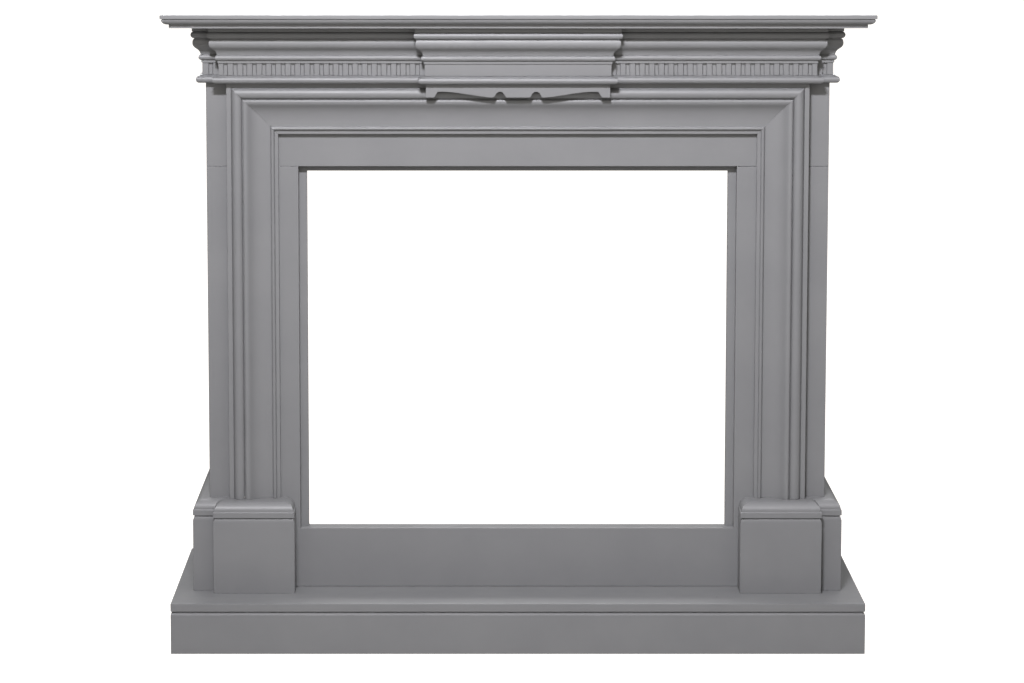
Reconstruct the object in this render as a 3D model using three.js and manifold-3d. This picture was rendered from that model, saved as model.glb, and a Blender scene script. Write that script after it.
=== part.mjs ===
// Fireplace mantelpiece: a painted surround standing on its own hearth box.
// Millimetres, +Z up, the front faces -Y, the flat back at +Y stands to the wall.
// The origin is on the floor, under the middle of the whole piece.

import * as THREE from 'three';
import { mergeVertices } from 'three/addons/utils/BufferGeometryUtils.js';
import Module from 'manifold-3d';

const wasm = await Module();
wasm.setup();

// Driving dimensions: stock and fits
const gap = 0.3;
const board = 16;

// Carcass
const pilaster_width = 34.3;
const carcass_depth = 302;
const opening_width = 718;
const opening_height = 602.5;
const rail_height = 99;
const frame_lip = 13;
const frame_head_lip = 8.4;
const frame_cover = 34;

// Hearth box
const hearth_side_ledge = 30;
const hearth_reach = 128;
const hearth_height = 83.5;
const hearth_slab = 13.5;
const hearth_board_chamfer = 3;

// Plinth blocks and their caps
const block_clearance = 7.6;
const block_shoulder = 25.2;
const block_height = 126.3;
const block_reach = 53.5;
const side_block_ledge = 25.9;
const side_block_reach = 31;
const block_chamfer_width = 2;
const block_chamfer_height = 6;
const neck_depth = 3.5;
const neck_height = 1.9;
const cap_height = 25.2;
const cap_band = 8.7;
const cap_quirk_depth = 1.8;
const cap_quirk_height = 2;
const cap_top_inset = 18;

// Casing round the opening
const casing_margin_side = 32.2;
const casing_margin_top = 54.3;
const casing_width = 83.8;
const casing_inner_rise = 9;
const casing_inner_fillet = 5.8;
const casing_small_bead = 6.8;
const casing_small_rise = 4.5;
const casing_flat = 1;
const casing_ogee_rise = 14;
const casing_ogee_cove = 32.4;
const casing_ogee_convex = 8.9;
const casing_shoulder = 3.2;
const casing_shoulder_drop = 2.2;
const casing_bead = 16.8;
const casing_bead_rise = 7;
const casing_outer_fillet = 8.8;
const casing_outer_rise = 18;
const casing_quirk = 1.2;

// Entablature: torus, frieze and crown, in three layers
const torus_height = 13.2;
const torus_radius = 5.8;
const torus_reach = 10.2;
const frieze_height = 19.7;
const frieze_proud = 5;
const layer_step = 18;
const wing_inset = 27.8;
const centre_width = 303;
const flute_pitch = 15.6;
const flute_mouth = 7.8;
const flute_floor = 4.8;
const flute_depth = 2.7;
const flute_end = 11;
const crown_foot_fillet = 4.3;
const crown_foot_reach = 1.5;
const crown_small_bead = 9;
const crown_small_reach = 4.3;
const crown_ogee_start = 2.6;
const crown_ogee_height = 25.6;
const crown_ogee_reach = 14.7;
const crown_quirk = 1.5;
const crown_bead = 11.3;
const crown_bead_reach = 17.5;
const crown_top_fillet = 7.9;
const crown_top_reach = 15.5;

// Scalloped apron under the centre
const apron_end_inset = 2;
const apron_height = 21.4;
const apron_thickness = 12;
const apron_set_back = 2;
const apron_foot = 13.5;
const apron_rise = 9.3;
const apron_shoulder = 18;
const apron_notch_offset = 29.3;
const apron_notch_width = 22;

// Mantel shelf
const shelf_side_reach = 66.8;
const shelf_reach = 84.5;
const shelf_lower_fillet = 6.2;
const shelf_ovolo_step = 1.3;
const shelf_ovolo_height = 8;
const shelf_quirk = 1.3;
const shelf_quirk_depth = 2;
const shelf_top_fillet = 6.2;
const shelf_edge_inset = 13.5;

// Levels and planes that follow from them
const wall_y = (carcass_depth + hearth_reach) / 2;
const board_face = wall_y - carcass_depth;
const opening_half = opening_width / 2;
const casing_inner_half = opening_half + casing_margin_side;
const casing_outer_half = casing_inner_half + casing_width;
const board_half = casing_outer_half + pilaster_width;
const rail_top = hearth_height + rail_height;
const joint_z = rail_top + opening_height;
const casing_inner_top = joint_z + casing_margin_top;
const torus_z = casing_inner_top + casing_width;
const frieze_z = torus_z + torus_height;
const crown_z = frieze_z + frieze_height;
const crown_small_z = crown_z + crown_foot_fillet;
const crown_ogee_z = crown_small_z + crown_small_bead;
const crown_quirk_z = crown_ogee_z + crown_ogee_height;
const crown_bead_z = crown_quirk_z + crown_quirk;
const crown_fillet_z = crown_bead_z + crown_bead;
const shelf_z = crown_fillet_z + crown_top_fillet;
const cap_z = hearth_height + block_height;
const cap_top = cap_z + cap_height;
const block_inner = opening_half + block_clearance;
const block_outer = casing_outer_half + block_shoulder;
const side_block_outer = board_half + side_block_ledge;
const hearth_half = side_block_outer + hearth_side_ledge;
const shelf_half = board_half + shelf_side_reach;

// Layers of the entablature: half width at the frieze and how far the frieze stands out
const outer_layer = { half: board_half + frieze_proud, proud: frieze_proud };
const wing_layer = { half: outer_layer.half - wing_inset, proud: frieze_proud + layer_step };
const centre_layer = { half: centre_width / 2, proud: frieze_proud + 2 * layer_step };

// Satin grey paint, a little cooler in the light
const paint = { color: 0x9b9b9f, roughness: 0.45, metalness: 0 };

const mantelpiece = new THREE.Group();
mantelpiece.name = 'mantelpiece';

function place(name, geometry) {
  const piece = new THREE.Mesh(geometry, new THREE.MeshStandardMaterial(paint));
  piece.name = name;
  mantelpiece.add(piece);
}

// Prism over a polygon: along Z over plan points (x, y), along Y over (x, z), along X over (y, z)
const prism_basis = {
  x: [new THREE.Vector3(0, 1, 0), new THREE.Vector3(0, 0, 1), new THREE.Vector3(1, 0, 0)],
  y: [new THREE.Vector3(1, 0, 0), new THREE.Vector3(0, 0, 1), new THREE.Vector3(0, -1, 0)],
  z: [new THREE.Vector3(1, 0, 0), new THREE.Vector3(0, 1, 0), new THREE.Vector3(0, 0, 1)],
};

function prism(points, axis, from, to) {
  const shape = new THREE.Shape(points);
  const geometry = new THREE.ExtrudeGeometry(shape, { depth: to - from, bevelEnabled: false });
  const start = axis === 'y' ? -to : from;
  geometry.translate(0, 0, start);
  return geometry.applyMatrix4(new THREE.Matrix4().makeBasis(...prism_basis[axis]));
}

function block(x0, x1, y0, y1, z0, z1) {
  const geometry = new THREE.BoxGeometry(x1 - x0, y1 - y0, z1 - z0);
  return geometry.translate((x0 + x1) / 2, (y0 + y1) / 2, (z0 + z1) / 2);
}

function solid(geometry) {
  const bare = geometry.clone();
  bare.deleteAttribute('normal');
  bare.deleteAttribute('uv');
  const merged = mergeVertices(bare, 1e-4);
  const vertProperties = new Float32Array(merged.attributes.position.array);
  const triVerts = new Uint32Array(merged.index.array);
  return new wasm.Manifold(new wasm.Mesh({ numProp: 3, vertProperties, triVerts }));
}

function surface(body) {
  const mesh = body.getMesh();
  const geometry = new THREE.BufferGeometry();
  geometry.setAttribute('position', new THREE.BufferAttribute(mesh.vertProperties, 3));
  geometry.setIndex(new THREE.BufferAttribute(mesh.triVerts, 1));
  return geometry;
}

// Moulded block: a box whose two ends and front carry one profile, mitred at the corners,
// and whose back is flat. The profile is a path of (reach, height) from bottom to top.
function moulded(profile, x0, x1, front, back, grow = 0) {
  const right = profile.map((p) => new THREE.Vector2(x1 + p.x + grow, p.y));
  const left = profile.map((p) => new THREE.Vector2(x0 - p.x - grow, p.y)).reverse();
  const nose = profile.map((p) => new THREE.Vector2(front - p.x - grow, p.y)).reverse();
  const reach = Math.max(...profile.map((p) => p.x)) + grow + 1;
  const low = profile[0].y;
  const high = profile[profile.length - 1].y;
  const across = solid(prism([...right, ...left], 'y', front - reach, back));
  const side = [new THREE.Vector2(back, low), new THREE.Vector2(back, high), ...nose];
  return across.intersect(solid(prism(side, 'x', x0 - reach, x1 + reach)));
}

function path_points(path, divisions) {
  return path.getPoints(divisions);
}

// Hearth box: a slab on a front board, two side boards and a back board. A chamfer and a
// narrow neck run under the slab along the front and the sides.
const hearth_front = -wall_y;
const hearth_board_top = hearth_height - hearth_slab - gap;
place('hearth_slab', block(-hearth_half, hearth_half, hearth_front, wall_y,
  hearth_height - hearth_slab, hearth_height));

const hearth_chamfer_top = hearth_board_top - neck_height;
const hearth_profile = [
  new THREE.Vector2(0, 0),
  new THREE.Vector2(0, hearth_chamfer_top - hearth_board_chamfer),
  new THREE.Vector2(-hearth_board_chamfer, hearth_chamfer_top),
  new THREE.Vector2(-neck_depth, hearth_chamfer_top),
  new THREE.Vector2(-neck_depth, hearth_board_top),
];
place('hearth_front_board', surface(moulded(hearth_profile, -hearth_half, hearth_half,
  hearth_front, hearth_front + board)));
place('hearth_back_board', block(-hearth_half, hearth_half, wall_y - board, wall_y,
  0, hearth_board_top));

for (const [side, sign] of [['left', -1], ['right', 1]]) {
  const outer = hearth_profile.map((p) => new THREE.Vector2(sign * (hearth_half + p.x), p.y));
  const inner = sign * (hearth_half - board);
  place(`hearth_side_board_${side}`, prism([...outer, new THREE.Vector2(inner, hearth_board_top),
    new THREE.Vector2(inner, 0)], 'y', hearth_front + board + gap, wall_y - board - gap));
}

// Boards of the front: the U-shaped board below the joint, the header above it
const front_board = [
  new THREE.Vector2(-board_half, hearth_height + gap),
  new THREE.Vector2(board_half, hearth_height + gap),
  new THREE.Vector2(board_half, joint_z),
  new THREE.Vector2(opening_half, joint_z),
  new THREE.Vector2(opening_half, rail_top),
  new THREE.Vector2(-opening_half, rail_top),
  new THREE.Vector2(-opening_half, joint_z),
  new THREE.Vector2(-board_half, joint_z),
];
place('front_board', prism(front_board, 'y', board_face, board_face + board));
place('header_board', block(-board_half, board_half, board_face, board_face + board,
  joint_z + gap, shelf_z - gap));

// Side panels run from the back of the front boards to the wall
const panel_front = board_face + board + gap;
for (const [side, sign] of [['left', -1], ['right', 1]]) {
  const outer = sign * board_half;
  const inner = sign * (board_half - board);
  place(`side_panel_${side}`, block(Math.min(outer, inner), Math.max(outer, inner),
    panel_front, wall_y, hearth_height + gap, shelf_z - gap));
}

// Inner frame behind the boards: a flat ring that narrows the opening to the firebox
const frame_half = opening_half - frame_lip;
const frame_outer = opening_half + frame_cover;
const frame_top = joint_z - frame_head_lip;
const frame_ring = new THREE.Shape([
  new THREE.Vector2(-frame_outer, rail_top - frame_cover),
  new THREE.Vector2(frame_outer, rail_top - frame_cover),
  new THREE.Vector2(frame_outer, joint_z + frame_cover),
  new THREE.Vector2(-frame_outer, joint_z + frame_cover),
]);
frame_ring.holes.push(new THREE.Path([
  new THREE.Vector2(-frame_half, rail_top),
  new THREE.Vector2(-frame_half, frame_top),
  new THREE.Vector2(frame_half, frame_top),
  new THREE.Vector2(frame_half, rail_top),
]));
const frame_geometry = new THREE.ExtrudeGeometry(frame_ring, { depth: board, bevelEnabled: false });
frame_geometry.translate(0, 0, -(panel_front + board));
place('inner_frame', frame_geometry.applyMatrix4(new THREE.Matrix4().makeBasis(...prism_basis.y)));

// Plinth: a front block under each casing leg and a set-back block that runs to the wall
function block_profile() {
  return [
    new THREE.Vector2(0, hearth_height + gap),
    new THREE.Vector2(0, cap_z - gap - neck_height - block_chamfer_height),
    new THREE.Vector2(-block_chamfer_width, cap_z - gap - neck_height),
    new THREE.Vector2(-neck_depth, cap_z - gap - neck_height),
    new THREE.Vector2(-neck_depth, cap_z - gap),
  ];
}

function cap_profile() {
  const path = new THREE.Path();
  const ovolo_z = cap_z + cap_band + cap_quirk_height;
  const ovolo_inset = cap_top_inset - cap_quirk_depth;
  path.moveTo(0, cap_z);
  path.lineTo(0, cap_z + cap_band);
  path.lineTo(-cap_quirk_depth, cap_z + cap_band + cap_quirk_height / 2);
  path.lineTo(-cap_quirk_depth, ovolo_z);
  path.absellipse(-cap_top_inset, ovolo_z, ovolo_inset, cap_top - ovolo_z, 0, Math.PI / 2, false, 0);
  return path_points(path, 10);
}

const front_face = board_face - gap;
const panel_room = solid(block(-board_half - gap, board_half + gap, front_face, wall_y + 1,
  0, shelf_z));

for (const [side, sign] of [['left', -1], ['right', 1]]) {
  const near = Math.min(sign * block_inner, sign * block_outer);
  const far = Math.max(sign * block_inner, sign * block_outer);
  const run_x0 = Math.min(sign * (block_outer - cap_top_inset), sign * side_block_outer);
  const run_x1 = Math.max(sign * (block_outer - cap_top_inset), sign * side_block_outer);
  const block_front = board_face - block_reach;
  const run_front = board_face - side_block_reach;
  for (const [part, profile] of [['block', block_profile()], ['cap', cap_profile()]]) {
    const front_piece = moulded(profile, near, far, block_front, front_face);
    const room = moulded(profile, near, far, block_front, front_face + 1, gap);
    const inner_cut = solid(block(-block_outer + cap_top_inset, block_outer - cap_top_inset,
      run_front - 1, wall_y + 1, 0, cap_top + 1));
    const run = moulded(profile, run_x0, run_x1, run_front, wall_y);
    place(`plinth_${part}_${side}`, surface(front_piece));
    place(`plinth_side_${part}_${side}`,
      surface(run.subtract(room).subtract(panel_room).subtract(inner_cut)));
  }
}

// Casing: one moulding profile (width from the inner edge, rise), mitred at the top corners
function casing_profile() {
  const shape = new THREE.Shape();
  const bead_end = casing_inner_fillet + casing_small_bead;
  const ogee_end = casing_width - casing_outer_fillet - casing_bead - casing_quirk;
  const ogee_crest = ogee_end - casing_shoulder;
  const ogee_top = casing_inner_rise + casing_ogee_rise;
  const bead_start = ogee_end + casing_quirk;
  const fillet_start = bead_start + casing_bead;
  const ogee_start = bead_end + casing_flat;
  shape.moveTo(0, 0);
  shape.lineTo(0, casing_inner_rise);
  shape.lineTo(casing_inner_fillet, casing_inner_rise);
  shape.absellipse(casing_inner_fillet + casing_small_bead / 2, casing_inner_rise,
    casing_small_bead / 2, casing_small_rise, Math.PI, 0, true);
  shape.lineTo(ogee_start, casing_inner_rise);
  shape.bezierCurveTo(ogee_start + casing_ogee_cove, casing_inner_rise,
    ogee_crest - casing_ogee_convex, ogee_top, ogee_crest, ogee_top);
  shape.quadraticCurveTo(ogee_end, ogee_top, ogee_end, ogee_top - casing_shoulder_drop);
  shape.lineTo(ogee_end, casing_outer_rise);
  shape.lineTo(bead_start, casing_outer_rise);
  shape.absellipse(bead_start + casing_bead / 2, casing_outer_rise,
    casing_bead / 2, casing_bead_rise, Math.PI, 0, true);
  shape.lineTo(fillet_start + casing_quirk, casing_outer_rise - casing_quirk);
  shape.lineTo(fillet_start + casing_quirk, casing_outer_rise);
  shape.lineTo(casing_width, casing_outer_rise);
  shape.lineTo(casing_width, 0);
  return shape;
}

// One length of casing: each profile point runs from end 0 to end 1 where spot() puts it
function casing_length(name, spot) {
  const geometry = new THREE.ExtrudeGeometry(casing_profile(),
    { depth: 1, bevelEnabled: false, curveSegments: 12 });
  const position = geometry.attributes.position;
  for (let i = 0; i < position.count; i += 1) {
    const point = spot(position.getX(i), position.getY(i), Math.round(position.getZ(i)));
    position.setXYZ(i, point[0], point[1], point[2]);
  }
  place(name, geometry);
}

const mitre_gap = gap * Math.SQRT2;
const casing_foot = cap_top + gap;
const casing_back = board_face - gap;
casing_length('casing_left', (width, rise, end) => [
  -(casing_inner_half + width),
  casing_back - rise,
  end === 0 ? casing_foot : casing_inner_top + width - mitre_gap - gap,
]);
casing_length('casing_right', (width, rise, end) => [
  casing_inner_half + width,
  casing_back - rise,
  end === 1 ? casing_foot : casing_inner_top + width - mitre_gap - gap,
]);
casing_length('casing_top', (width, rise, end) => [
  (end === 0 ? -1 : 1) * (casing_inner_half + width),
  casing_back - rise,
  casing_inner_top + width - gap,
]);

// Torus moulding: a round nose with a weathered slope above it
function torus_profile() {
  const path = new THREE.Path();
  const nose = torus_reach - torus_radius;
  path.moveTo(nose, torus_z);
  path.absarc(nose, torus_z + torus_radius, torus_radius, -Math.PI / 2, Math.PI / 4, false);
  path.lineTo(0, frieze_z - gap);
  return path_points(path, 10);
}

// Crown moulding: foot fillet, small bead, ogee, quirk, large bead and top fillet
function crown_profile() {
  const path = new THREE.Path();
  const bead_seat = crown_bead_reach - crown_bead / 2;
  const ogee_end = crown_ogee_z + crown_ogee_height;
  const ogee_crest = crown_ogee_z + 0.76 * crown_ogee_height;
  path.moveTo(crown_foot_reach, crown_z);
  path.lineTo(crown_foot_reach, crown_small_z);
  path.absellipse(crown_foot_reach, crown_small_z + crown_small_bead / 2,
    crown_small_reach, crown_small_bead / 2, -Math.PI / 2, Math.PI / 2, false, 0);
  path.lineTo(crown_ogee_start, crown_ogee_z);
  path.bezierCurveTo(1.6 * crown_ogee_start, crown_ogee_z + crown_ogee_height / 3,
    crown_ogee_reach, crown_ogee_z + 0.46 * crown_ogee_height,
    crown_ogee_reach, ogee_crest);
  path.quadraticCurveTo(crown_ogee_reach, (ogee_crest + ogee_end) / 2,
    crown_ogee_reach - crown_quirk, ogee_end);
  path.lineTo(bead_seat, ogee_end);
  path.lineTo(bead_seat, crown_bead_z);
  path.absarc(bead_seat, crown_bead_z + crown_bead / 2, crown_bead / 2,
    -Math.PI / 2, Math.PI / 2, false);
  path.lineTo(crown_top_reach, crown_fillet_z);
  path.lineTo(crown_top_reach, shelf_z - gap);
  return path_points(path, 12);
}

// Three layers of one moulding: each further layer is cut to fit round the nearer one
function layered(name, profile) {
  const full = (layer, grow, back) => moulded(profile, -layer.half, layer.half,
    board_face - layer.proud, back, grow);
  const low = profile[0].y - 1;
  const high = profile[profile.length - 1].y + 1;
  const reach = 2 * board_half;
  const half_space = {
    left: solid(block(-reach, 0, -reach, reach, low, high)),
    right: solid(block(0, reach, -reach, reach, low, high)),
  };
  const centre = full(centre_layer, 0, front_face);
  const wings = full(wing_layer, 0, front_face).subtract(full(centre_layer, gap, front_face + 1));
  const outer = full(outer_layer, 0, wall_y)
    .subtract(full(wing_layer, gap, front_face + 1))
    .subtract(panel_room);
  place(`${name}_centre`, surface(centre));
  for (const side of ['left', 'right']) {
    place(`${name}_wing_${side}`, surface(wings.intersect(half_space[side])));
    place(`${name}_outer_${side}`, surface(outer.intersect(half_space[side])));
  }
}

layered('torus', torus_profile());
layered('crown', crown_profile());

// Frieze: flutes with sloping sides run between flat teeth on the wings and the outer returns
const frieze_low = frieze_z;
const frieze_high = crown_z - gap;

function fluted_edge(start, end, into) {
  const length = start.distanceTo(end);
  const along = end.clone().sub(start).normalize();
  const count = Math.max(1, Math.floor((length - 2 * flute_end) / flute_pitch + 0.01) + 1);
  const first = (length - (count - 1) * flute_pitch) / 2;
  const points = [];
  for (let i = 0; i < count; i += 1) {
    const middle = first + i * flute_pitch;
    for (const [shift, depth] of [[-flute_mouth / 2, 0], [-flute_floor / 2, flute_depth],
      [flute_floor / 2, flute_depth], [flute_mouth / 2, 0]]) {
      points.push(start.clone().addScaledVector(along, middle + shift).addScaledVector(into, depth));
    }
  }
  return points;
}

function frieze_piece(name, sign, points) {
  const plan = points.map((p) => new THREE.Vector2(sign * p.x, p.y));
  if (sign > 0) plan.reverse();
  place(name, prism(plan, 'z', frieze_low, frieze_high));
}

const inward = new THREE.Vector2(0, 1);
const sideways = new THREE.Vector2(-1, 0);
const wing_front = board_face - wing_layer.proud;
const outer_front = board_face - outer_layer.proud;
const centre_end = centre_layer.half + gap;
for (const [side, sign] of [['left', -1], ['right', 1]]) {
  const wing_start = new THREE.Vector2(wing_layer.half, wing_front);
  const wing_end = new THREE.Vector2(centre_end, wing_front);
  frieze_piece(`frieze_wing_${side}`, sign, [
    wing_start,
    ...fluted_edge(wing_start, wing_end, inward),
    wing_end,
    new THREE.Vector2(centre_end, front_face),
    new THREE.Vector2(wing_layer.half, front_face),
  ]);
  const corner = new THREE.Vector2(outer_layer.half, outer_front);
  const at_wall = new THREE.Vector2(outer_layer.half, wall_y);
  const at_wing = new THREE.Vector2(wing_layer.half + gap, outer_front);
  frieze_piece(`frieze_outer_${side}`, sign, [
    at_wall,
    ...fluted_edge(at_wall, corner, sideways),
    corner,
    ...fluted_edge(corner, at_wing, inward),
    at_wing,
    new THREE.Vector2(wing_layer.half + gap, front_face),
    new THREE.Vector2(board_half + gap, front_face),
    new THREE.Vector2(board_half + gap, wall_y),
  ]);
}
place('frieze_centre', block(-centre_layer.half, centre_layer.half,
  board_face - centre_layer.proud, front_face, frieze_low, frieze_high));

// Apron: a thin board with scalloped lower edge, hung under the centre torus
function apron_shape() {
  const half = centre_layer.half - apron_end_inset;
  const low = torus_z - gap - apron_height;
  const top = torus_z - gap;
  const peak = low + apron_rise;
  const slant = apron_rise / 2;
  const notch = apron_notch_width / 2;
  const shape = new THREE.Shape();
  shape.moveTo(-half, low);
  shape.lineTo(-half + apron_foot, low);
  for (const sign of [-1, 1]) {
    const foot = half - apron_foot;
    const far = sign * (apron_notch_offset + notch);
    const near = sign * (apron_notch_offset - notch);
    const middle = sign * apron_notch_offset;
    if (sign < 0) {
      shape.lineTo(-foot + slant, low + 0.8 * apron_rise);
      shape.quadraticCurveTo(-foot + slant + 1, peak, -foot + 2 * slant, peak);
      shape.lineTo(-foot + apron_shoulder, peak);
      shape.bezierCurveTo(-foot + 2 * apron_shoulder, peak, far - apron_shoulder, low, far, low);
    } else {
      shape.lineTo(near, low);
    }
    const inner = 0.68 * notch;
    shape.bezierCurveTo(middle - inner, low, middle - inner, peak, middle, peak);
    shape.bezierCurveTo(middle + inner, peak, middle + inner, low, middle + notch, low);
    if (sign > 0) {
      shape.bezierCurveTo(far + apron_shoulder, low, foot - 2 * apron_shoulder, peak,
        foot - apron_shoulder, peak);
      shape.lineTo(foot - 2 * slant, peak);
      shape.quadraticCurveTo(foot - slant - 1, peak, foot - slant, low + 0.8 * apron_rise);
      shape.lineTo(foot, low);
    }
  }
  shape.lineTo(half, low);
  shape.lineTo(half, top);
  shape.lineTo(-half, top);
  return shape;
}

const apron_front = board_face - centre_layer.proud + apron_set_back;
const apron = new THREE.ExtrudeGeometry(apron_shape(),
  { depth: apron_thickness, bevelEnabled: false, curveSegments: 8 });
apron.translate(0, 0, -(apron_front + apron_thickness));
place('scalloped_apron', apron.applyMatrix4(new THREE.Matrix4().makeBasis(...prism_basis.y)));

// Mantel shelf: one board, its edge worked with a fillet, an ovolo and a lower fillet
function shelf_profile() {
  const path = new THREE.Path();
  const step_z = shelf_z + shelf_lower_fillet;
  const ovolo_top = step_z + shelf_ovolo_height;
  const top = ovolo_top + shelf_quirk + shelf_top_fillet;
  const ovolo_reach = shelf_edge_inset - shelf_ovolo_step - shelf_quirk_depth;
  path.moveTo(-shelf_edge_inset, shelf_z);
  path.lineTo(-shelf_edge_inset, step_z);
  path.lineTo(-shelf_edge_inset + shelf_ovolo_step, step_z);
  path.absellipse(-shelf_edge_inset + shelf_ovolo_step, ovolo_top, ovolo_reach,
    shelf_ovolo_height, -Math.PI / 2, 0, false);
  path.lineTo(-shelf_quirk_depth, ovolo_top + shelf_quirk);
  path.lineTo(0, ovolo_top + shelf_quirk);
  path.lineTo(0, top);
  return path_points(path, 10);
}

place('mantel_shelf', surface(moulded(shelf_profile(), -shelf_half, shelf_half,
  board_face - shelf_reach, wall_y)));

export default mantelpiece;
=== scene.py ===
import math

import bmesh
import bpy
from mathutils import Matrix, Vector


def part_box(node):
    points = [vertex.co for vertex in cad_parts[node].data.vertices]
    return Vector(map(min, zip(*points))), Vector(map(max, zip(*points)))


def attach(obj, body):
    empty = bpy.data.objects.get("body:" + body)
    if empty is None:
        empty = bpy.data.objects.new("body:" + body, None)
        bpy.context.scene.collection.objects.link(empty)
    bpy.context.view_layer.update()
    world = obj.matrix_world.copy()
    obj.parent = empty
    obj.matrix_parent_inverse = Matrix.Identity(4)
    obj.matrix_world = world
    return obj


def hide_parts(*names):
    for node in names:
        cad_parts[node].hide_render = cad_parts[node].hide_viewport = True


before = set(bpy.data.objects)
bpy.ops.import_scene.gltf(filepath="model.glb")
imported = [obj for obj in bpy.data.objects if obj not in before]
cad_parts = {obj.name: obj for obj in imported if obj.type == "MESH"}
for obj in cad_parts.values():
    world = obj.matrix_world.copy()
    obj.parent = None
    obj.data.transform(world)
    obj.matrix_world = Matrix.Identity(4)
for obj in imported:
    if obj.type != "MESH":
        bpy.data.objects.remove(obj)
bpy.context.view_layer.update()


# Camera: a long lens at eye level in front of the mantelpiece, looking slightly down, with
# the picture shifted a little to one side and up.
look_down = math.radians(7.1821)
camera = bpy.data.objects.new("camera", bpy.data.cameras.new("camera"))
bpy.context.collection.objects.link(camera)
camera.location = (-0.0722, -5.7250, 1.3593)
camera.rotation_euler = (math.radians(90) - look_down, 0, 0)
camera.data.sensor_width = 36
camera.data.lens = 121.64
camera.data.shift_x = 0.0376
camera.data.shift_y = -0.0903
bpy.context.scene.camera = camera
bpy.context.scene.view_settings.view_transform = "Standard"


# Hearth box: a fibreboard slab on a front board, two side boards and a back board, glued
# together. The boards' upper edges are chamfered and a narrow groove runs under the slab.
# Everything but the back board is sprayed with satin grey paint.
mm = 0.001
gap = 0.3 * mm
board = 16 * mm
arris = 0.6 * mm
paint_colour = (0.194, 0.195, 0.199, 1)
paint_shade = (0.182, 0.183, 0.188, 1)


def texture(nodes, links, scale, detail, rough=0.5):
    place = nodes.new("ShaderNodeTexCoord")
    noise = nodes.new("ShaderNodeTexNoise")
    noise.inputs["Scale"].default_value = scale
    noise.inputs["Detail"].default_value = detail
    noise.inputs["Roughness"].default_value = rough
    links.new(place.outputs["Object"], noise.inputs["Vector"])
    return noise


def spread(nodes, links, value, low, high, start=0.35, end=0.65):
    span = nodes.new("ShaderNodeMapRange")
    span.inputs["From Min"].default_value = start
    span.inputs["From Max"].default_value = end
    span.inputs["To Min"].default_value = low
    span.inputs["To Max"].default_value = high
    links.new(value, span.inputs["Value"])
    return span.outputs["Result"]


def blended(nodes, links, factor, first, second):
    mix = nodes.new("ShaderNodeMix")
    mix.data_type = "RGBA"
    mix.inputs["A"].default_value = first
    mix.inputs["B"].default_value = second
    links.new(factor, mix.inputs["Factor"])
    return mix.outputs["Result"]


def roughened(nodes, links, shader, grain, strength, depth):
    bump = nodes.new("ShaderNodeBump")
    bump.inputs["Strength"].default_value = strength
    bump.inputs["Distance"].default_value = depth
    links.new(grain.outputs["Fac"], bump.inputs["Height"])
    links.new(bump.outputs["Normal"], shader.inputs["Normal"])


def marked(nodes, links, colour, spot, size, mark_colour):
    place = nodes.new("ShaderNodeTexCoord")
    away = nodes.new("ShaderNodeVectorMath")
    away.operation = "DISTANCE"
    away.inputs[1].default_value = spot
    links.new(place.outputs["Object"], away.inputs[0])
    mask = spread(nodes, links, away.outputs["Value"], 1, 0, 0.6 * size, size)
    mix = nodes.new("ShaderNodeMix")
    mix.data_type = "RGBA"
    mix.inputs["B"].default_value = mark_colour
    links.new(mask, mix.inputs["Factor"])
    links.new(colour, mix.inputs["A"])
    return mix.outputs["Result"]


def grey_paint(name, *mark):
    material = bpy.data.materials.new(name)
    material.use_nodes = True
    nodes, links = material.node_tree.nodes, material.node_tree.links
    shader = nodes["Principled BSDF"]
    shader.inputs["IOR"].default_value = 1.5
    cloud = texture(nodes, links, scale=9, detail=4, rough=0.6)
    colour = blended(nodes, links, spread(nodes, links, cloud.outputs["Fac"], 0, 1),
                     paint_colour, paint_shade)
    if mark:
        colour = marked(nodes, links, colour, *mark)
    links.new(colour, shader.inputs["Base Color"])
    sheen = texture(nodes, links, scale=14, detail=3)
    links.new(spread(nodes, links, sheen.outputs["Fac"], 0.42, 0.5),
              shader.inputs["Roughness"])
    peel = texture(nodes, links, scale=420, detail=2)
    roughened(nodes, links, shader, peel, 0.25, 0.06 * mm)
    return material


def raw_board():
    material = bpy.data.materials.new("raw fibreboard")
    material.use_nodes = True
    nodes, links = material.node_tree.nodes, material.node_tree.links
    shader = nodes["Principled BSDF"]
    shader.inputs["Roughness"].default_value = 0.85
    fibre = texture(nodes, links, scale=900, detail=3, rough=0.7)
    links.new(blended(nodes, links, spread(nodes, links, fibre.outputs["Fac"], 0, 1),
                      (0.33, 0.23, 0.14, 1), (0.24, 0.16, 0.09, 1)),
              shader.inputs["Base Color"])
    roughened(nodes, links, shader, fibre, 0.3, 0.1 * mm)
    return material


paint = grey_paint("satin grey paint")


def eased(points, radius, closed=True):
    shallow, steps = math.radians(28), 4
    points = [p for i, p in enumerate(points)
              if i == 0 or math.dist(p, points[i - 1]) > 0.001 * mm]
    result = []
    for i, point in enumerate(points):
        if not closed and i in (0, len(points) - 1):
            result.append(tuple(point))
            continue
        corner = Vector(point)
        back = Vector(points[i - 1]) - corner
        ahead = Vector(points[(i + 1) % len(points)]) - corner
        if math.pi - back.angle(ahead) < shallow:
            result.append(tuple(point))
            continue
        cut = min(radius, 0.45 * back.length, 0.45 * ahead.length)
        start, end = corner + cut * back.normalized(), corner + cut * ahead.normalized()
        for k in range(steps + 1):
            t = k / steps
            result.append(tuple((1 - t) ** 2 * start + 2 * t * (1 - t) * corner + t * t * end))
    return result


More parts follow.
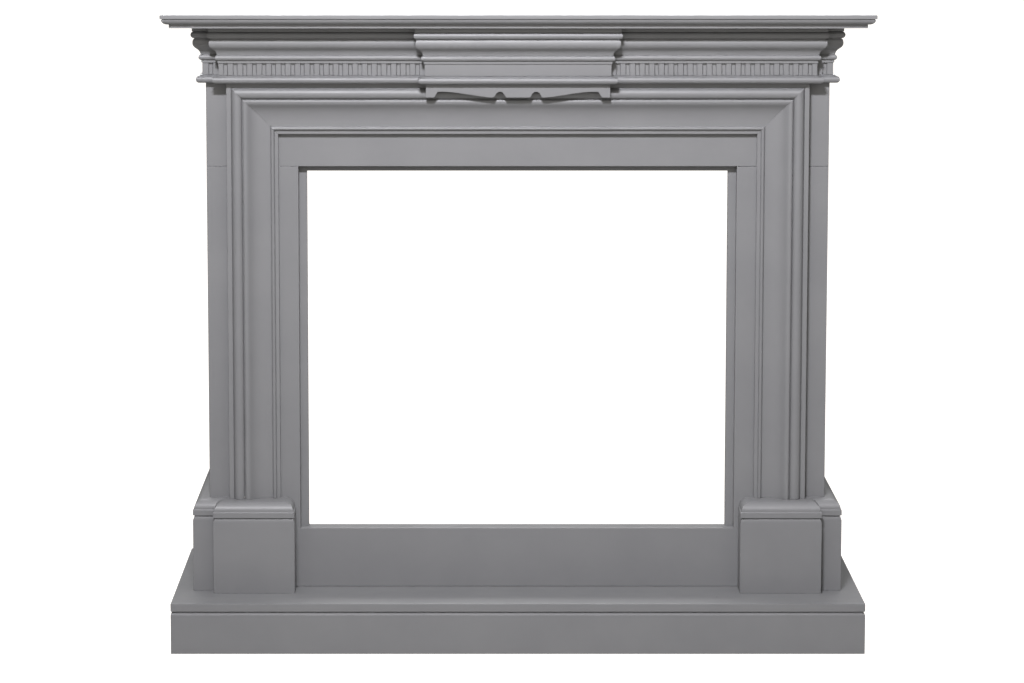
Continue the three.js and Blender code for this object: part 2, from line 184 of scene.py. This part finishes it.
def loft(name, node, rings, material=None, slot="grey_paint"):
    count = len(rings[0])
    vertices = [point for ring in rings for point in ring]
    faces = [tuple(reversed(range(count)))]
    for k in range(len(rings) - 1):
        low, high = k * count, (k + 1) * count
        for i in range(count):
            j = (i + 1) % count
            faces.append((low + i, low + j, high + j, high + i))
    faces.append(tuple(range(len(vertices) - count, len(vertices))))
    mesh = bpy.data.meshes.new(name)
    mesh.from_pydata(vertices, [], faces)
    skin = bmesh.new()
    skin.from_mesh(mesh)
    bmesh.ops.recalc_face_normals(skin, faces=skin.faces)
    skin.to_mesh(mesh)
    skin.free()
    mesh.shade_smooth()
    mesh.set_sharp_from_angle(angle=math.radians(32))
    mesh.materials.append(material or paint)
    piece = bpy.data.objects.new(name.replace(" ", "_"), mesh)
    bpy.context.collection.objects.link(piece)
    piece.modifiers.new("flat faces", "WEIGHTED_NORMAL").keep_sharp = True
    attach(piece, "root")
    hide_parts(node)


# A plan's corner is its place and the two ways in which a moulding's reach moves it.
def moulded(name, node, plan, profile, **finish):
    rings = []
    for reach, height in profile:
        corners = [(x + across * reach, y + ahead * reach) for x, y, across, ahead in plan]
        rings.append([(x, y, height) for x, y in eased(corners, arris)])
    loft(name, node, rings, **finish)


def mirrored(plan):
    return [(-x, y, -across, ahead) for x, y, across, ahead in reversed(plan)]


def around(x0, x1, front, back):
    return [(x0, back, -1, 0), (x0, front, -1, -1), (x1, front, 1, -1), (x1, back, 1, 0)]


def board_edges(low, high, ease=arris):
    return [(-ease, low), (-0.3 * ease, low + 0.3 * ease), (0, low + ease),
            (0, high - ease), (-0.3 * ease, high - 0.3 * ease), (-ease, high)]


slab_low, slab_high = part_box("hearth_slab")
hearth_half, wall, hearth_top = slab_high
hearth_front, slab_under = slab_low[1], slab_low[2]
board_top = slab_under - gap
groove_depth, groove_height, chamfer = 3.5 * mm, 1.9 * mm, 3 * mm
groove_foot = board_top - groove_height
slab_ease, edge_ease = 1 * mm, 0.5 * mm

speck_spot = (0.3267, -0.1655, hearth_top)
hearth_paint = grey_paint("satin grey paint of the hearth",
                          speck_spot, 1.6 * mm, (0.03, 0.025, 0.02, 1))
slab_plan = [(-hearth_half, wall, -1, 1), (-hearth_half, hearth_front, -1, -1),
             (hearth_half, hearth_front, 1, -1), (hearth_half, wall, 1, 1)]
moulded("hearth top slab", "hearth_slab", slab_plan,
        board_edges(slab_under, hearth_top, slab_ease), material=hearth_paint)

board_profile = eased([(0, 0), (0, groove_foot - chamfer), (-chamfer, groove_foot),
                       (-groove_depth, groove_foot), (-groove_depth, board_top)],
                      edge_ease, closed=False)
moulded("hearth front board", "hearth_front_board",
        around(-hearth_half, hearth_half, hearth_front, hearth_front + board), board_profile)

side_front, side_back = hearth_front + board + gap, wall - board - gap
left_side = [(-hearth_half, side_back, -1, 0), (-hearth_half, side_front, -1, 0),
             (-hearth_half + board, side_front, 0, 0), (-hearth_half + board, side_back, 0, 0)]
for side, plan in (("left", left_side), ("right", mirrored(left_side))):
    moulded(f"hearth {side} side board", f"hearth_side_board_{side}", plan, board_profile)

back_plan = [(-hearth_half, wall, 0, 0), (-hearth_half, wall - board, 0, 0),
             (hearth_half, wall - board, 0, 0), (hearth_half, wall, 0, 0)]
moulded("hearth back board", "hearth_back_board", back_plan, board_edges(0, board_top),
        material=raw_board(), slot="raw_board")


# Carcass: a U-shaped front board below a straight joint, a header board above it and a side
# panel behind each edge, glued at the corners. The joint's two arrises are rounded, so it
# shows as a fine dark line in the paint.
board_low, board_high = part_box("front_board")
header_low, header_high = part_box("header_board")
board_half, board_back, joint = board_high
board_face = board_low[1]
opening_half = 359 * mm
rail_top = 182.5 * mm
front_ease, corner_ease = 1 * mm, 0.4 * mm


def outlined(name, node, outline):
    steps = [(-front_ease, board_face), (-0.3 * front_ease, board_face + 0.3 * front_ease),
             (0, board_face + front_ease), (0, board_back - 0.3 * front_ease),
             (-0.3 * front_ease, board_back)]
    rings = []
    for reach, depth in steps:
        corners = [(x + across * reach, z + up * reach) for x, z, across, up in outline]
        rings.append([(x, depth, z) for x, z in eased(corners, corner_ease)])
    loft(name, node, rings)


u_board = [(-board_half, board_low[2], -1, -1), (board_half, board_low[2], 1, -1),
           (board_half, joint, 1, 1), (opening_half, joint, -1, 1),
           (opening_half, rail_top, -1, 1), (-opening_half, rail_top, 1, 1),
           (-opening_half, joint, 1, 1), (-board_half, joint, -1, 1)]
outlined("front board round the opening", "front_board", u_board)
header = [(-board_half, header_low[2], -1, -1), (board_half, header_low[2], 1, -1),
          (board_half, header_high[2], 1, 1), (-board_half, header_high[2], -1, 1)]
outlined("header board", "header_board", header)

for side in ("left", "right"):
    low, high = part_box(f"side_panel_{side}")
    panel = [(low[0], wall, -1, 0), (low[0], low[1], -1, -1),
             (high[0], low[1], 1, -1), (high[0], wall, 1, 0)]
    moulded(f"{side} side panel", f"side_panel_{side}", panel, board_edges(low[2], high[2]))


# Inner frame: a flat ring of the same board behind the opening, which narrows it to the
# firebox. It is screwed on from behind, so its painted face has no fixings.
def painted_and_eased(node, width):
    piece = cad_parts[node]
    piece.data.materials.clear()
    piece.data.materials.append(paint)
    soft = piece.modifiers.new("eased edges", "BEVEL")
    soft.width = width
    soft.segments = 2
    soft.limit_method = "ANGLE"


painted_and_eased("inner_frame", 0.6 * mm)


# Plinth: a front block under each casing leg and a set-back block that runs to the wall,
# each with a chamfer, a narrow neck and a moulded cap of flat band, quirk and ovolo.
block_low, block_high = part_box("plinth_block_left")
cap_low, cap_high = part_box("plinth_cap_left")
run_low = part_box("plinth_side_block_left")[0]
block_outer, block_inner, side_outer = -block_low[0], -block_high[0], -run_low[0]
block_front, run_front = block_low[1], run_low[1]
block_foot, front_face = hearth_top + gap, board_face - gap
cap_foot, cap_top = cap_low[2], cap_high[2]
block_top = cap_foot - gap
neck_height, neck_depth = 1.9 * mm, 3.5 * mm
slope_height, slope_depth = 6 * mm, 2 * mm
neck_foot = block_top - neck_height
block_profile = eased([(0, block_foot), (0, neck_foot - slope_height),
                       (-slope_depth, neck_foot), (-neck_depth, neck_foot),
                       (-neck_depth, block_top)], edge_ease, closed=False)


def arc(x, z, wide, high, start, end, steps):
    turns = [math.radians(start + (end - start) * k / steps) for k in range(steps + 1)]
    return [(x + wide * math.cos(turn), z + high * math.sin(turn)) for turn in turns]


band_height, quirk_height, quirk_depth = 8.7 * mm, 1 * mm, 1.8 * mm
ovolo_wide = 16.2 * mm
band_top = cap_foot + band_height
ovolo_foot = band_top + 2 * quirk_height
cap_profile = eased([(0, cap_foot), (0, band_top), (-quirk_depth, band_top + quirk_height)]
                    + arc(-quirk_depth - ovolo_wide, ovolo_foot,
                          ovolo_wide, cap_top - ovolo_foot, 0, 90, 20),
                    edge_ease, closed=False)

front_block = around(-block_outer, -block_inner, block_front, front_face)
side_block = [(-side_outer, wall, -1, 0), (-side_outer, run_front, -1, -1),
              (-block_outer - gap, run_front, -1, -1), (-block_outer - gap, front_face, -1, 0),
              (-board_half - gap, front_face, 0, 0), (-board_half - gap, wall, 0, 0)]
for part, profile in (("block", block_profile), ("cap", cap_profile)):
    for place, plan in (("", front_block), ("side ", side_block)):
        for side in ("left", "right"):
            moulded(f"{side} {place}plinth {part}",
                    f"plinth_{place}{part}_{side}".replace(" ", "_"),
                    plan if side == "left" else mirrored(plan), profile)


# Casing: one deep moulding round the opening, standing on the plinth caps and mitred at the
# top corners. From the inner edge: fillet, small bead, cove rising in an ogee, large bead
# and outer fillet.
casing_inner, casing_inner_top = 391.2 * mm, 839.3 * mm
casing_foot = cap_top + gap
mitre_gap = 0.25 * mm
casing_width = 83.8 * mm


def cubic(start, first, second, end, steps=16):
    points = []
    for k in range(1, steps + 1):
        t = k / steps
        weights = ((1 - t) ** 3, 3 * t * (1 - t) ** 2, 3 * t * t * (1 - t), t ** 3)
        points.append(tuple(sum(w * c[i] for w, c in zip(weights, (start, first, second, end)))
                            for i in (0, 1)))
    return points


def casing_section():
    bead_start, bead_end, bead_rise = 5.8 * mm, 12.6 * mm, 4.5 * mm
    ogee_start, ogee_crest, ogee_end = 13.6 * mm, 53.8 * mm, 57 * mm
    cove_reach, crest_reach, shoulder_drop = 32.4 * mm, 8.9 * mm, 2.4 * mm
    big_start, big_end, big_rise = 58.2 * mm, 75 * mm, 7 * mm
    flat, high, seat = 9 * mm, 23 * mm, 18 * mm
    quirk = 1.2 * mm
    points = [(0, 0), (0, flat), (bead_start, flat)]
    points += arc((bead_start + bead_end) / 2, flat, (bead_end - bead_start) / 2, bead_rise,
                  180, 0, 14)
    points += cubic((ogee_start, flat), (ogee_start + cove_reach, flat),
                    (ogee_crest - crest_reach, high), (ogee_crest, high), 24)
    points += arc(ogee_crest, high - shoulder_drop, ogee_end - ogee_crest, shoulder_drop,
                  80, 0, 8)
    points += [(ogee_end, seat), (big_start, seat)]
    points += arc((big_start + big_end) / 2, seat, (big_end - big_start) / 2, big_rise,
                  170, 10, 20)
    points += [(big_end + quirk, seat - quirk), (big_end + quirk, seat),
               (casing_width, seat), (casing_width, 0)]
    return eased(points, edge_ease)


section = casing_section()
chip_spot = (-0.4494, -0.1072, 0.2385)
chipped_paint = grey_paint("satin grey paint of the left casing",
                           chip_spot, 2 * mm, (0.55, 0.53, 0.5, 1))


def casing_length(name, node, ends, **finish):
    loft(name, node, [[end(w, rise) for w, rise in section] for end in ends], **finish)


def foot(sign):
    return lambda width, rise: (sign * (casing_inner + width), front_face - rise, casing_foot)


def mitre(sign, back_off):
    return lambda width, rise: (sign * (casing_inner + width), front_face - rise,
                                casing_inner_top + width - back_off)


casing_length("left casing leg", "casing_left", (foot(-1), mitre(-1, mitre_gap)),
              material=chipped_paint)
casing_length("right casing leg", "casing_right", (mitre(1, mitre_gap), foot(1)))
casing_length("casing head", "casing_top", (mitre(-1, 0), mitre(1, 0)))


# Entablature: three layers of one run of mouldings, each layer 18 mm behind the nearer one.
# The lowest is a torus with a weathered slope above its round nose.
shelf_low, shelf_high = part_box("mantel_shelf")
torus_foot, frieze_foot, crown_foot = (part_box(f"{kind}_centre")[0][2]
                                       for kind in ("torus", "frieze", "crown"))
shelf_foot = shelf_low[2]
outer_half, wing_half, centre_half = 514.3 * mm, 486.5 * mm, 151.5 * mm
layer_depth = 18 * mm
outer_front = board_face - 5 * mm
wing_front = outer_front - layer_depth
centre_front = wing_front - layer_depth
centre_plan = around(-centre_half, centre_half, centre_front, front_face)
wing_plan = [(-wing_half, front_face, -1, 0), (-wing_half, wing_front, -1, -1),
             (-centre_half - gap, wing_front, -1, -1), (-centre_half - gap, front_face, -1, 0)]
outer_plan = [(-outer_half, wall, -1, 0), (-outer_half, outer_front, -1, -1),
              (-wing_half - gap, outer_front, -1, -1), (-wing_half - gap, front_face, -1, 0),
              (-board_half - gap, front_face, 0, 0), (-board_half - gap, wall, 0, 0)]


def layered(kind, profile):
    moulded(f"centre {kind}", f"{kind}_centre", centre_plan, profile)
    for side in ("left", "right"):
        for layer, plan in (("wing", wing_plan), ("outer", outer_plan)):
            moulded(f"{side} {layer} {kind}", f"{kind}_{layer}_{side}",
                    plan if side == "left" else mirrored(plan), profile)


nose, nose_radius, slope_top = 4.4 * mm, 5.8 * mm, 1.5 * mm
torus_top = frieze_foot - gap
layered("torus", eased(arc(nose, torus_foot + nose_radius, nose_radius, nose_radius, -90, 50, 16)
                       + [(slope_top, torus_top), (0, torus_top)],
                       0.3 * mm, closed=False))


# Frieze: a plain centre block between two fluted wings, with fluted returns at the ends. The
# flutes are shallow grooves with sloping sides, cut across the strip before it was painted.
moulded("centre frieze", "frieze_centre", centre_plan,
        board_edges(frieze_foot, crown_foot - gap))
for side in ("left", "right"):
    for layer in ("wing", "outer"):
        painted_and_eased(f"frieze_{layer}_{side}", 0.3 * mm)


# Crown: the moulding under the shelf, with a foot fillet, a small bead, a tall ogee, a large
# bead and a top fillet, in the same three layers.
def crown_section():
    top = shelf_foot - gap
    small_reach, small_bulge, small_radius = 1.5 * mm, 4.3 * mm, 4.5 * mm
    small_foot, ogee_foot = crown_foot + 4.3 * mm, crown_foot + 13.3 * mm
    ogee_height, ogee_low, ogee_high = 25.6 * mm, 2.6 * mm, 14.7 * mm
    ogee_top = ogee_foot + ogee_height
    crest = ogee_foot + 0.76 * ogee_height
    bead_foot = ogee_top + 1.5 * mm
    bead_height, bead_reach, top_reach = 11.3 * mm, 17.5 * mm, 15.5 * mm
    bead_top, radius = bead_foot + bead_height, bead_height / 2
    seat = bead_reach - radius
    points = [(small_reach, crown_foot), (small_reach, small_foot)]
    points += arc(small_reach, small_foot + small_radius, small_bulge, small_radius,
                  -80, 80, 14)
    points.append((ogee_low, ogee_foot))
    points += cubic((ogee_low, ogee_foot), (3.4 * mm, ogee_foot + 0.41 * ogee_height),
                    (ogee_high, ogee_foot + 0.38 * ogee_height), (ogee_high, crest), 20)
    points += [(ogee_high - 0.2 * mm, crest + 3 * mm), (ogee_high - 1.3 * mm, ogee_top),
               (seat, ogee_top), (seat, bead_foot)]
    points += arc(seat, bead_foot + radius, radius, radius, -85, 85, 18)
    points += [(seat, bead_top), (top_reach, bead_top), (top_reach, top)]
    return eased(points, 0.4 * mm, closed=False)


layered("crown", crown_section())


# Apron: a thin board sawn to a scalloped lower edge and glued under the centre torus, just
# behind the frieze's face. Two bell-shaped notches stand either side of the middle.
apron_low, apron_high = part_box("scalloped_apron")
apron_thick, apron_ease = 12 * mm, 0.9 * mm


def apron_outline():
    half, low, top = apron_high[0], apron_low[2], apron_high[2]
    peak, foot_edge = low + 9.3 * mm, half - 13.5 * mm
    middle, notch, flank = 29.3 * mm, 11 * mm, 7.5 * mm
    right = [(middle - notch, low)]
    right += cubic((middle - notch, low), (middle - flank, low),
                   (middle - flank, peak), (middle, peak))
    right += cubic((middle, peak), (middle + flank, peak),
                   (middle + flank, low), (middle + notch, low))
    right += cubic((middle + notch, low), (middle + notch + 18 * mm, low),
                   (foot_edge - 36 * mm, peak), (foot_edge - 18 * mm, peak), 24)
    right += [(foot_edge - 9 * mm, peak)]
    right += cubic((foot_edge - 9 * mm, peak), (foot_edge - 5.5 * mm, peak),
                   (foot_edge - 5 * mm, peak - 0.5 * mm),
                   (foot_edge - 4.5 * mm, low + 7.2 * mm), 6)
    right += [(foot_edge, low), (half, low)]
    left = [(-x, z) for x, z in reversed(right)]
    return left + right + [(half, top), (-half, top)]


outline = eased(apron_outline(), apron_ease)
apron_rings = []
for inset, depth in ((0.3 * mm, 0), (0.08 * mm, 0.1 * mm), (0, 0.4 * mm), (0, apron_thick)):
    ring = []
    for i, point in enumerate(outline):
        along = Vector(outline[(i + 1) % len(outline)]) - Vector(outline[i - 1])
        inward = Vector((-along.y, along.x)).normalized() * inset
        ring.append((point[0] + inward.x, apron_low[1] + depth, point[1] + inward.y))
    apron_rings.append(ring)
loft("scalloped apron", "scalloped_apron", apron_rings)


# Mantel shelf: one board whose front and end edges are worked with a lower fillet, an
# ovolo, a deep quirk and a top fillet. It is glued on top of the crown.
shelf_half, shelf_front = shelf_high[0], shelf_low[1]
shelf_top = shelf_high[2]
fillet_back, ovolo_back, ovolo_reach = 13.5 * mm, 12.2 * mm, 10.2 * mm
fillet_height, ovolo_height = 6.2 * mm, 8 * mm
shelf_quirk_depth, shelf_quirk_height = 3.6 * mm, 1.3 * mm
top_ease = 1 * mm
step = shelf_foot + fillet_height
ovolo_top = step + ovolo_height
quirk_top = ovolo_top + shelf_quirk_height
shelf_profile = eased([(-fillet_back, shelf_foot), (-fillet_back, step), (-ovolo_back, step)]
                      + arc(-ovolo_back, ovolo_top, ovolo_reach, ovolo_height, -88, 0, 16)
                      + [(-shelf_quirk_depth, ovolo_top), (-shelf_quirk_depth, quirk_top),
                         (0, quirk_top), (0, shelf_top - top_ease),
                         (-0.3 * top_ease, shelf_top - 0.3 * top_ease),
                         (-top_ease, shelf_top)], edge_ease, closed=False)
moulded("mantel shelf", "mantel_shelf",
        around(-shelf_half, shelf_half, shelf_front, wall), shelf_profile)


# Studio: a pale floor and a pale room, both white in the picture. A small main light stands
# in front, high and a little to the left, and its beam fades towards the hearth. Wide weak
# lights in front and above soften its shadows, and one behind lights the shelf's top face.
reach = 60
studio_white = (1, 0.97, 0.93, 1)
white_in_view = 1.2
floor_mesh = bpy.data.meshes.new("floor")
floor_mesh.from_pydata([(-reach, -reach, 0), (reach, -reach, 0),
                        (reach, reach, 0), (-reach, reach, 0)], [], [(0, 1, 2, 3)])
floor = bpy.data.objects.new("floor", floor_mesh)
bpy.context.collection.objects.link(floor)


def glow(nodes, links, strength, socket):
    seen = nodes.new("ShaderNodeLightPath")
    links.new(spread(nodes, links, seen.outputs["Is Camera Ray"], strength, white_in_view,
                     0, 1), socket)


floor_paint = bpy.data.materials.new("pale studio floor")
floor_paint.use_nodes = True
floor_nodes, floor_links = floor_paint.node_tree.nodes, floor_paint.node_tree.links
floor_shader = floor_nodes["Principled BSDF"]
floor_shader.inputs["Roughness"].default_value = 0.9
floor_shader.inputs["Emission Color"].default_value = studio_white
grain = texture(floor_nodes, floor_links, scale=3, detail=2)
floor_links.new(blended(floor_nodes, floor_links, grain.outputs["Fac"],
                        (0.3, 0.3, 0.29, 1), (0.32, 0.32, 0.31, 1)),
                floor_shader.inputs["Base Color"])
glow(floor_nodes, floor_links, 0.2, floor_shader.inputs["Emission Strength"])
floor_mesh.materials.append(floor_paint)

world = bpy.data.worlds.new("studio")
bpy.context.scene.world = world
world.use_nodes = True
room = world.node_tree.nodes["Background"]
room.inputs["Color"].default_value = studio_white
glow(world.node_tree.nodes, world.node_tree.links, 0.1, room.inputs["Strength"])


def soft_light(name, place, target, wide, high, power):
    lamp = bpy.data.lights.new(name, "AREA")
    lamp.shape = "RECTANGLE"
    lamp.size, lamp.size_y = wide, high
    lamp.energy = power
    light = bpy.data.objects.new(name, lamp)
    light.location = place
    light.rotation_euler = (Vector(target) - Vector(place)).to_track_quat("-Z", "Y").to_euler()
    light.visible_camera = False
    bpy.context.collection.objects.link(light)
    return lamp


main_light = soft_light("front light", (-0.35, -3.1, 3.05), (0, -0.1, 1.3),
                        wide=0.6, high=0.2, power=41.5)
main_light.spread = math.radians(84)
main_light.color = (0.985, 0.98, 1.03)
fill = soft_light("fill", (0, -1.6, 1.3), (0, -0.1, 1.0), wide=2.4, high=0.8, power=8)
fill.color = (1, 0.96, 0.9)
soft_light("overhead", (0, -0.5, 3.0), (0, -0.15, 0), wide=2.5, high=1.2, power=28)
soft_light("behind", (0, 1.0, 1.3), (0, 0, 1.25), wide=3.0, high=0.6, power=34)
